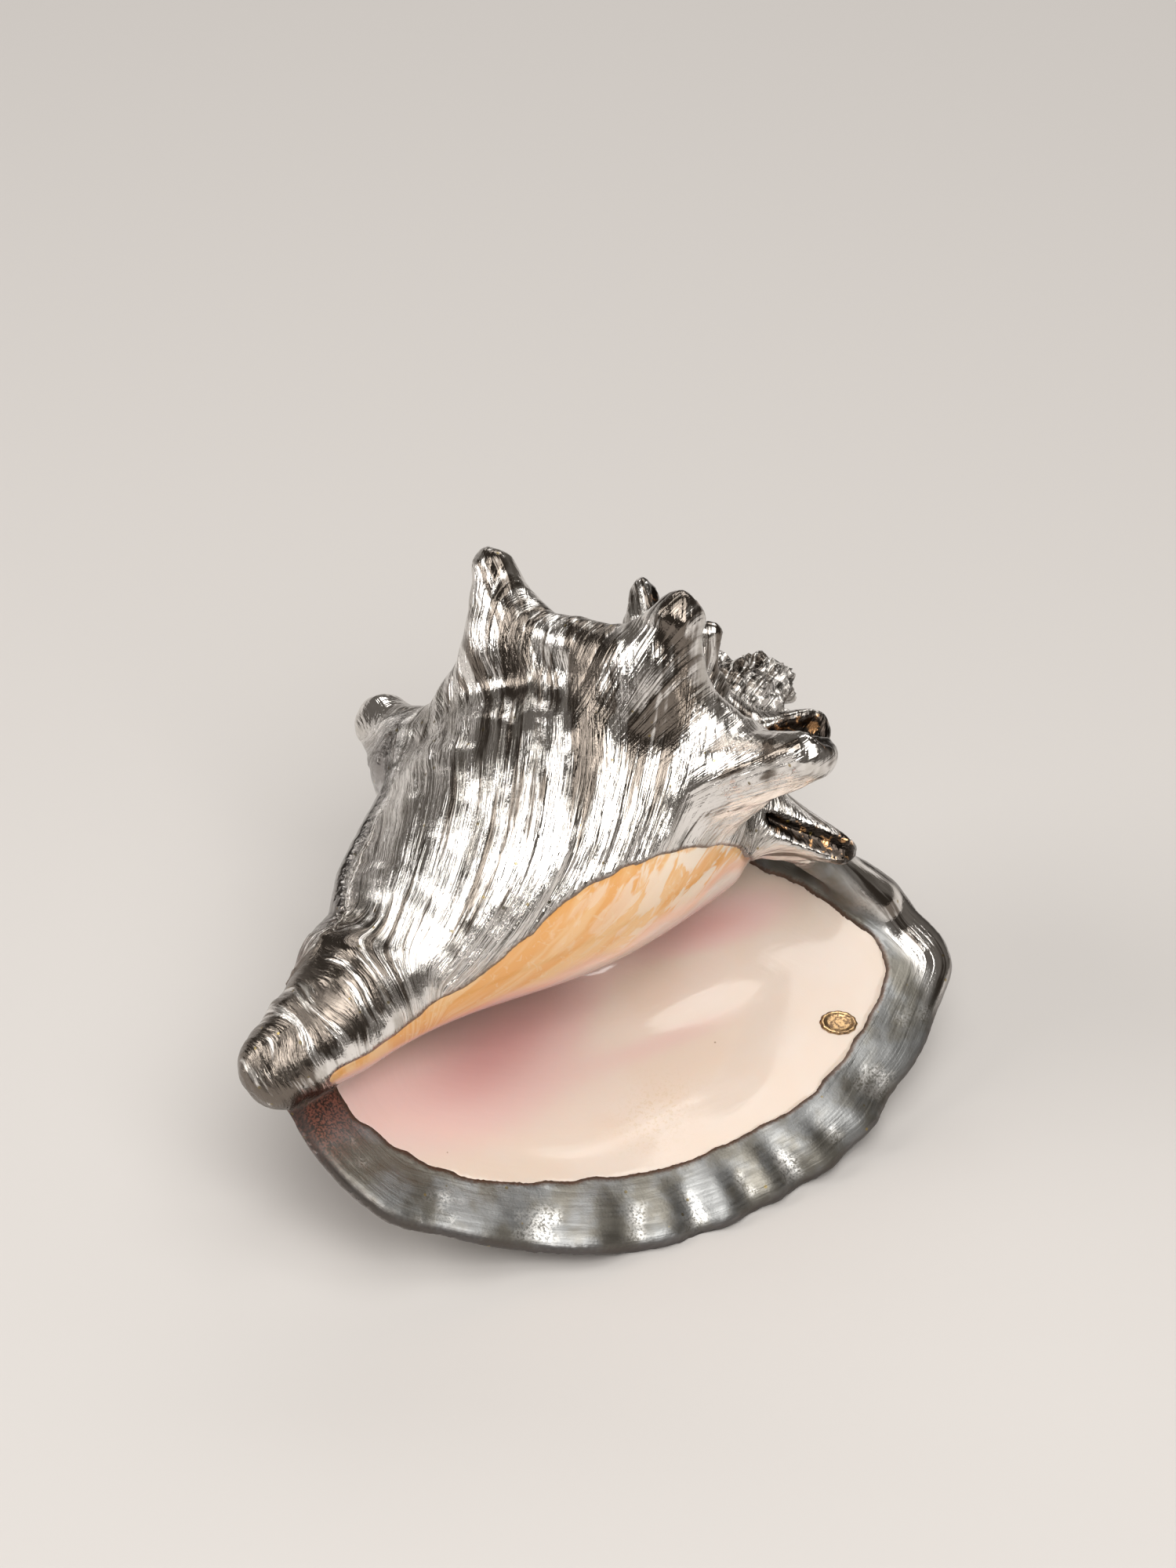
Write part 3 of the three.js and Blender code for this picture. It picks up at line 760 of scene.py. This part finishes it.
def silver_material():
    """Polished plate with dark streaks along the growth lines, partly tarnish and partly painted
    dark reflection; satin, dull plate on the lip with painted highlights on its undulations;
    painted shade in the spines' hollows and along the lip's rim.
    """
    n = Nodes("silver_plate")
    flow = n.attribute("flow", "Vector")
    place = n.attribute("place", "Vector")
    band = n.attribute("band")
    plate = n.attribute("plate")
    hollow = n.attribute("hollow")
    wave_highlight = n.attribute("wave_highlight")
    # Dark streaks along the growth lines and the rays among the spines: partly tarnish, partly
    # painted dark reflection.
    streak = n.noise(flow, (0.42, 0.024, 0.2), 4.0, 0.55, 0.4)
    fine = n.noise(flow, (1.1, 0.06, 0.4), 2.0, 0.5)
    rays = n.noise(n.attribute("spoke", "Vector"), (0.36, 0.06, 1.0), 4.0, 0.55, 0.4)
    far = n.attribute("far")
    streak = n.math("ADD", n.math("MULTIPLY", streak, n.math("SUBTRACT", 1.0, far)),
                    n.math("MULTIPLY", rays, far))
    grain = n.noise(place, (1.3, 1.3, 1.3), 2.0, 0.5)
    cloud = n.noise(place, (0.045, 0.045, 0.045), 3.0, 0.6)
    broad = n.noise(flow, (0.135, 0.011, 0.1), 3.0, 0.6, 0.3)
    dark = n.math("ADD", n.math("MULTIPLY", streak, 0.40), n.math("MULTIPLY", broad, 0.60))
    shade = n.attribute("shade")
    dark = n.math("ADD", dark, n.math("MULTIPLY", shade, 0.10))
    dark = n.math("SUBTRACT", dark, n.math("MULTIPLY", n.attribute("calm"), 0.065))
    dark = n.ramp(n.math("ADD", dark, n.math("MULTIPLY", cloud, 0.2)), 0.59, 0.66)
    pearl = n.ramp(n.noise(flow, (0.11, 0.03, 0.1), 4.0, 0.62, 0.3), 0.46, 0.64)
    bright = n.mix(pearl, (0.90, 0.875, 0.85, 1), (0.60, 0.57, 0.53, 1))
    # The dark streak colour stands for tarnish and for painted dark reflection.
    bright = n.mix(dark, bright, (0.20, 0.172, 0.148, 1))
    olive = n.noise(place, (0.06, 0.06, 0.06), 3.0, 0.6)
    dull = n.mix(n.ramp(olive, 0.4, 0.6), (0.21, 0.20, 0.175, 1), (0.28, 0.285, 0.285, 1))
    # Painted highlights: bright spots on the crests of the lip's undulations.
    wave_highlight = n.math("MULTIPLY", wave_highlight, n.ramp(grain, 0.36, 0.56))
    dull = n.mix(wave_highlight, dull, (0.86, 0.85, 0.83, 1))
    colour = n.mix(band, bright, dull)
    copper = n.attribute("copper")
    worn = n.mix(n.ramp(grain, 0.40, 0.60), (0.06, 0.035, 0.03, 1), (0.34, 0.13, 0.09, 1))
    colour = n.mix(n.math("MULTIPLY", copper, 0.9), colour, worn)
    # Painted shade inside the spines' hollows: near-black plate with copper glints that are
    # painted highlights.
    painted_glint = n.ramp(n.noise(place, (0.28, 0.28, 0.28), 3.0, 0.6, 0.5), 0.56, 0.66)
    inner = n.mix(painted_glint, (0.045, 0.036, 0.03, 1), (0.55, 0.31, 0.15, 1))
    colour = n.mix(hollow, colour, inner)
    edge = n.ramp(n.math("ADD", plate, n.math("MULTIPLY", grain, -1.6)), 0.9, -0.5)
    colour = n.mix(n.math("MULTIPLY", edge, 0.85), colour, (0.15, 0.095, 0.07, 1))
    # Painted shade: the lip's outermost rim is darkened to near-black.
    colour = n.mix(n.math("MULTIPLY", n.attribute("rim"), 0.75), colour, (0.10, 0.085, 0.08, 1))
    spot, tone = n.cells(place, 0.15)
    speck = n.ramp(spot, 0.10, 0.06)
    colour = n.mix(n.math("MULTIPLY", speck, 0.8), colour,
                   n.mix(tone, (0.09, 0.08, 0.05, 1), (0.45, 0.33, 0.10, 1)))
    rough = n.ramp(fine, 0.3, 0.7, 0.05, 0.16)
    satin = n.math("MULTIPLY", band, n.ramp(wave_highlight, 0.0, 1.0, 1.0, 0.6))
    rough = n.math("ADD", rough, n.math("MULTIPLY", satin, 0.36))
    rough = n.math("ADD", rough, n.math("MULTIPLY", pearl, 0.10))
    rough = n.math("ADD", rough, n.math("MULTIPLY", shade, 0.12))
    rough = n.math("ADD", rough, n.math("MULTIPLY", copper, 0.3))
    smooth = n.ramp(n.attribute("sleek"), 0.0, 1.0, 1.0, 0.2)
    height = n.math("ADD", n.math("MULTIPLY", streak, 1.0), n.math("MULTIPLY", fine, 0.28))
    normal = n.bump(n.math("MULTIPLY", height, smooth), 0.6, 0.0018)
    normal = n.bump(grain, 0.2, 0.0003, normal)
    nodule, _ = n.cells(place, 0.24)
    nodule = n.math("MULTIPLY", n.ramp(nodule, 0.7, 0.1), n.attribute("spire"))
    normal = n.bump(nodule, 0.8, 0.003, normal)
    n.set(Base_Color=colour, Metallic=1.0, Roughness=rough, Normal=normal)
    return n.material


def porcelain_material():
    """Glossy shell: an orange callus that fades through peach into cream and pink, with painted
    shade under the callus's roll and beside the inner fold, and a painted highlight on the fold.
    """
    n = Nodes("porcelain")
    flow = n.attribute("flow", "Vector")
    place = n.attribute("place", "Vector")
    callus = n.attribute("callus")
    pink = n.attribute("pink")
    soft = n.noise(place, (0.04, 0.04, 0.04), 2.0, 0.5)
    cream = n.mix(n.ramp(soft, 0.35, 0.65), (0.76, 0.645, 0.56, 1), (0.75, 0.62, 0.52, 1))
    # The pink ramps also carry painted shade under the callus's roll and beside the fold, and a
    # painted highlight on the fold.
    wall = n.mix(n.ramp(pink, 0.05, 0.45), cream, (0.76, 0.54, 0.50, 1))
    wall = n.mix(n.ramp(pink, 0.35, 1.0), wall, (0.68, 0.35, 0.34, 1))
    peach = n.noise(flow, (0.14, 0.028, 0.1), 3.0, 0.55)
    orange = n.mix(n.ramp(peach, 0.38, 0.62), (0.86, 0.43, 0.14, 1), (0.91, 0.57, 0.28, 1))
    flecks = n.ramp(n.noise(flow, (0.16, 0.07, 0.1), 3.0, 0.6, 0.6), 0.50, 0.60)
    orange = n.mix(n.math("MULTIPLY", flecks, n.attribute("fleck")), orange,
                   (0.94, 0.80, 0.66, 1))
    veins = n.ramp(n.noise(place, (0.3, 0.3, 0.3), 3.0, 0.6, 1.2), 0.58, 0.66)
    orange = n.mix(n.math("MULTIPLY", veins, 0.35), orange, (0.92, 0.70, 0.45, 1))
    blush = n.mix(n.ramp(callus, 0.0, 0.35), wall, (0.90, 0.53, 0.38, 1))
    colour = n.mix(n.ramp(callus, 0.3, 0.8), blush, orange)
    stain = n.math("MULTIPLY", n.attribute("stain"),
                   n.ramp(n.noise(place, (0.9, 0.9, 0.9), 4.0, 0.7), 0.5, 0.62))
    colour = n.mix(n.math("MULTIPLY", stain, 0.45), colour, (0.62, 0.47, 0.27, 1))
    spot, _ = n.cells(place, 0.075)
    speck = n.ramp(spot, 0.035, 0.02)
    colour = n.mix(n.math("MULTIPLY", speck, 0.8), colour, (0.28, 0.17, 0.09, 1))
    scratch = n.noise(place, (0.25, 2.4, 2.4), 3.0, 0.5)
    rough = n.ramp(scratch, 0.35, 0.75, 0.10, 0.20)
    height = n.math("ADD", n.noise(flow, (0.25, 0.03, 0.1), 2.0, 0.5),
                    n.math("MULTIPLY", scratch, 0.12))
    normal = n.bump(height, 0.12, 0.0012)
    n.set(Base_Color=colour, Roughness=rough, Normal=normal)
    n.set(Coat_Weight=0.5, Coat_Roughness=0.06, Subsurface_Weight=0.15, Subsurface_Scale=0.006)
    n.shader.inputs["Subsurface Radius"].default_value = (1.0, 0.45, 0.3)
    return n.material


def gilt_material():
    n = Nodes("gilt")
    place = n.object_place()
    wear = n.ramp(n.noise(place, (900, 900, 900), 4.0, 0.65), 0.42, 0.62)
    colour = n.mix(wear, (0.50, 0.33, 0.17, 1), (0.20, 0.13, 0.08, 1))
    normal = n.bump(n.noise(place, (2200, 2200, 2200), 2.0, 0.5), 0.3, 0.0002)
    n.set(Base_Color=colour, Metallic=1.0, Roughness=n.ramp(wear, 0, 1, 0.28, 0.5), Normal=normal)
    return n.material


def floor_material():
    n = Nodes("floor")
    place = n.object_place()
    tone = n.noise(place, (0.8, 0.8, 0.8), 2.0, 0.5)
    n.set(Base_Color=n.mix(tone, (0.60, 0.577, 0.56, 1), (0.62, 0.597, 0.58, 1)),
          Roughness=0.75)
    return n.material


# ---- the pieces -----------------------------------------------------------------------------

PLATE_HEIGHT = 0.45          # how far the plate stands above the porcelain
SINK = 1.1                   # how far a hidden part of a skin lies under the other skin
BORDER_SLOPE = 0.6           # how steeply one skin takes over from the other
BEAD_HEIGHT = 0.35           # of the crusted bead along the plate's edge

# Soft spots on the open side: strength, place across and up, half width, half height, lean. The
# first, second and fifth are the aperture's own pink; the third is pink deepened as painted shade
# under the callus's roll, the fourth a painted shadow beside the fold, and the last, negative, a
# painted highlight that whitens the fold.
PINK_SHADE_AND_LIGHT_SPOTS = [
    (0.56, 42, -54, 19, 30, 0.2), (0.45, 36, -30, 14, 34, 0.2), (0.65, 50, 34, 9, 24, 0.3),
    (0.32, 69, 2, 5, 26, 0.3), (0.3, 20, -84, 18, 16, 0), (-0.4, 58, 10, 9, 22, 0.2),
]
STAIN = (1, 84, -17, 9, 12, 0)


def finish_piece(piece, material, node):
    piece.data.materials.append(material)
    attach(piece, "root")
    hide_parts(node)


def soft_spot(zone, strength, across, up, wide, tall, lean):
    a, b = zone["a"], zone["b"]
    return strength * np.exp(
        -((a - across - lean * (b - up)) / wide) ** 2 - ((b - up) / tall) ** 2)


def line_marks(points, zone, across, along):
    """What both materials' streaks follow: the growth lines, and the rays among the spines."""
    reach = np.hypot(points[:, 0], points[:, 1])
    rays = RAYS_RADIUS * unrolled(zone["angle"])
    return {"flow": np.stack([across, along, points[:, 1] * 0.2], axis=1), "place": points,
            "plate": zone["plate"], "spoke": np.stack([rays, 0.4 * reach, 0 * reach], axis=1),
            "far": smoothstep(*RAYS_REACH, reach) * (1 - zone["lip"])}


def silver_marks(points, zone):
    """Where the plating is satin, worn, dark or smooth, and where shade and highlights are painted
    on it, each from 0 to 1.
    """
    a, b, angle, edge = zone["a"], zone["b"], zone["angle"], zone["edge"]
    z, lip = points[:, 2], zone["lip"]
    reach = np.hypot(points[:, 0], points[:, 1])
    # calm thins out the dark streaks, and with them the painted dark reflection, beside the callus
    # and low on the left flank; shade adds to them towards the canal's end, and as a painted dark
    # reflection in the saddle below the second spine's tip.
    callus_side = smoothstep(1, 0.15, zone["seen"] / (10 + 24 * smoothstep(-60, 30, b)))
    calm = callus_side * (np.abs(angle - 270) < 60)
    left = smoothstep(110, 140, angle) * smoothstep(235, 205, angle)
    calm = np.maximum(calm, 0.7 * left * smoothstep(30, 0, z) * smoothstep(-62, -40, z))
    shade = smoothstep(-58, -84, z) * (1 - lip) * (1 - calm)
    shade += 0.4 * smoothstep(14, 34, z) * smoothstep(176, 190, angle) \
        * smoothstep(226, 212, angle)
    sleek = lip * np.where(zone["outside"], 0.0, 1.0)
    band = sleek * smoothstep(82, 73, b + 5 * value_noise(points / 11, 15))
    wave = lip_wave(points[:, 0], points[:, 2], -4 + 0 * edge) / WAVE_HEIGHT
    # Painted highlights on the crests of the lip's undulations, where the satin plate is also
    # smoother.
    wave_highlight = band * smoothstep(0.2, 1.5, wave + 0.7 * value_noise(points / 3.5, 12)) \
        * smoothstep(-16, -10, edge) * smoothstep(-2.5, -5, edge)
    return {"band": band, "wave_highlight": wave_highlight, "sleek": sleek, "calm": calm,
            "copper": lip * smoothstep(40, 16, a) * smoothstep(-60, -82, b) * (edge > -30),
            # the rim mark is painted shade along the lip's outermost edge
            "rim": lip * smoothstep(-3.2, -1.2, edge), "shade": np.clip(shade, 0, 1),
            "hollow": zone["hollow"],
            "spire": smoothstep(84, 92, z) * smoothstep(30, 22, reach)}


def porcelain_marks(points, zone):
    """Where the porcelain is orange, flecked, pink or stained, each from 0 to 1; the pink also
    holds painted shade and a painted highlight.
    """
    b, angle = zone["b"], zone["angle"]
    turn = angle + 16 * smoothstep(-35, 40, b) + 8 * value_noise(points / 13, 9)
    return {"callus": (1 - zone["lip"]) * smoothstep(342, 308, turn) * (angle > 200),
            "pink": np.clip(sum(soft_spot(zone, *row) for row in PINK_SHADE_AND_LIGHT_SPOTS), 0, 1),
            "fleck": smoothstep(-20, 50, b), "stain": soft_spot(zone, *STAIN)}


def make_shell():
    """The shell's two skins: the plating, and the porcelain that it lies on."""
    points, quads, normals, zone, across, along = build_skins()
    plate = zone["plate"]
    ridges = relief(points, zone, across, along) * smoothstep(0.5, 6, plate)
    bead = BEAD_HEIGHT * smoothstep(0.1, 0.6, plate) * smoothstep(2.2, 1.0, plate) \
        * (0.6 + 0.8 * value_noise(points / 1.3, 8))
    up = np.clip(BORDER_SLOPE * plate, -SINK, PLATE_HEIGHT) + ridges + bead
    down = np.clip(-BORDER_SLOPE * plate, -SINK, 0)
    turned = points @ TURN.T
    middle = (turned.min(axis=0)[:2] + turned.max(axis=0)[:2]) / 2
    lines = line_marks(points, zone, across, along)
    plating = make_mesh("silver_plating", to_rest(points + normals * up[:, None], middle),
                        quads, {**lines, **silver_marks(points, zone)})
    finish_piece(plating, silver_material(), "shell")
    body = make_mesh("porcelain_shell", to_rest(points + normals * down[:, None], middle),
                     quads, {**lines, **porcelain_marks(points, zone)})
    finish_piece(body, porcelain_material(), "shell")
    return middle


PLAQUE_PLACE = (94.0, 50.0)  # in the shell's frame, X and Z
PLAQUE_SIZE = (12.0, 8.0)
# share of the way out to the rim, and height over the wall
PLAQUE_RINGS = [(0.0, 0.55), (0.55, 0.55), (0.72, 0.6), (0.78, 1.0), (0.9, 1.05), (0.97, 0.8),
                (1.0, 0.4), (1.0, -0.4)]
PLAQUE_SIDES = 72
PLAQUE_SCALLOPS = (12, 0.025)  # how many there are round its rim, and how deep
SLOPE_STEP = 3.0             # over which the wall's slope is measured


def make_plaque(middle):
    """A plain oval blank with a raised rim, lying on the inside of the lip."""
    x0, z0 = PLAQUE_PLACE

    def wall(x, z):
        return lip_column(np.atleast_1d(float(x)), np.atleast_1d(float(z)))[2]

    slope_x = (wall(x0 + SLOPE_STEP, z0) - wall(x0 - SLOPE_STEP, z0))[0] / (2 * SLOPE_STEP)
    slope_z = (wall(x0, z0 + SLOPE_STEP) - wall(x0, z0 - SLOPE_STEP))[0] / (2 * SLOPE_STEP)
    out = np.array([slope_x, -1.0, slope_z])
    out /= np.linalg.norm(out)
    right = TURN[0] - out * (out @ TURN[0])
    right /= np.linalg.norm(right)
    up = np.cross(out, right)
    centre = np.array([x0, wall(x0, z0)[0], z0])
    points = []
    for share, height in PLAQUE_RINGS:
        for i in range(PLAQUE_SIDES if share > 0 else 1):
            t = 2 * math.pi * i / PLAQUE_SIDES
            count, depth = PLAQUE_SCALLOPS
            scallop = 1 + depth * math.cos(count * t) * (share > 0.75)
            flat = right * (share * scallop * PLAQUE_SIZE[0] / 2 * math.cos(t)) \
                + up * (share * scallop * PLAQUE_SIZE[1] / 2 * math.sin(t))
            points.append(centre + flat + out * height)
    points = np.array(points)
    faces = [[0, 1 + i, 1 + (i + 1) % PLAQUE_SIDES] for i in range(PLAQUE_SIDES)]
    for ring in range(len(PLAQUE_RINGS) - 2):
        first = 1 + ring * PLAQUE_SIDES
        for i in range(PLAQUE_SIDES):
            j = (i + 1) % PLAQUE_SIDES
            after = first + PLAQUE_SIDES
            faces.append([first + i, after + i, after + j, first + j])
    last = 1 + (len(PLAQUE_RINGS) - 2) * PLAQUE_SIDES
    faces.append([last + i for i in reversed(range(PLAQUE_SIDES))])
    mesh = bpy.data.meshes.new("blank_plaque")
    mesh.from_pydata(to_rest(points, middle).tolist(), [], faces)
    mesh.validate()
    mesh.shade_smooth()
    piece = bpy.data.objects.new("blank_plaque", mesh)
    bpy.context.scene.collection.objects.link(piece)
    finish_piece(piece, gilt_material(), "seal")


# ---- floor, light and camera ----------------------------------------------------------------

FLOOR_REACH = 6.0            # metres


def make_floor():
    mesh = bpy.data.meshes.new("floor")
    corners = [(-1, -1), (1, -1), (1, 1), (-1, 1)]
    mesh.from_pydata([(x * FLOOR_REACH, y * FLOOR_REACH, 0) for x, y in corners],
                     [], [(0, 1, 2, 3)])
    floor = bpy.data.objects.new("floor", mesh)
    floor.data.materials.append(floor_material())
    bpy.context.scene.collection.objects.link(floor)


def aim(thing, target):
    direction = np.array(target) - np.array(thing.location)
    thing.rotation_euler = Vector(direction).to_track_quat("-Z", "Y").to_euler()


SOFTBOX_COLOUR = (1, 0.98, 0.95)


def softbox(name, place, target, size, power):
    data = bpy.data.lights.new(name, "AREA")
    data.shape = "RECTANGLE"
    data.size, data.size_y = size
    data.energy = power
    data.color = SOFTBOX_COLOUR
    light = bpy.data.objects.new(name, data)
    light.location = place
    bpy.context.scene.collection.objects.link(light)
    aim(light, target)


# Softboxes: name, place from the shell's middle, size (metres), power (watts).
SOFTBOXES = [
    ("front", (0.35, -1.1, 1.3), (1.3, 1.0), 22),
    ("top", (0.2, -0.2, 1.8), (1.5, 1.3), 14.5),
    ("left", (-1.6, -0.1, 0.9), (0.9, 1.2), 15.5),
    ("back", (0.2, 1.7, 1.2), (2.0, 0.6), 11),
]


def make_light(centre):
    world = bpy.data.worlds.new("studio")
    bpy.context.scene.world = world
    world.use_nodes = True
    background = world.node_tree.nodes["Background"]
    background.inputs["Color"].default_value = (1.0, 0.90, 0.80, 1)
    background.inputs["Strength"].default_value = 0.12
    for name, offset, size, power in SOFTBOXES:
        softbox(name, [c + o for c, o in zip(centre, offset)], centre, size, power)


CAMERA_DISTANCE = 1.4
CAMERA_LENS = 102.9          # millimetres, as is the sensor
CAMERA_SENSOR = 36.0
CAMERA_AIM = (0.0175, 0.0267)    # right and up from the shell's own origin, across the view


def make_camera(middle):
    right = np.array([1.0, 0, 0])
    up = np.array([0, math.sin(VIEW_TILT), math.cos(VIEW_TILT)])
    towards = np.array([0, -math.cos(VIEW_TILT), math.sin(VIEW_TILT)])
    origin = np.array([-middle[0], -middle[1], REST_HEIGHT]) * MM
    target = origin + right * CAMERA_AIM[0] + up * CAMERA_AIM[1]
    data = bpy.data.cameras.new("camera")
    data.lens = CAMERA_LENS
    data.sensor_width = CAMERA_SENSOR
    camera = bpy.data.objects.new("camera", data)
    camera.location = target + towards * CAMERA_DISTANCE
    bpy.context.scene.collection.objects.link(camera)
    aim(camera, target)
    bpy.context.scene.camera = camera


bpy.context.scene.view_settings.view_transform = "Standard"
shell_middle = make_shell()
make_plaque(shell_middle)
make_floor()
make_camera(shell_middle)
make_light([(low + high) / 2 for low, high in zip(*cad_box)])
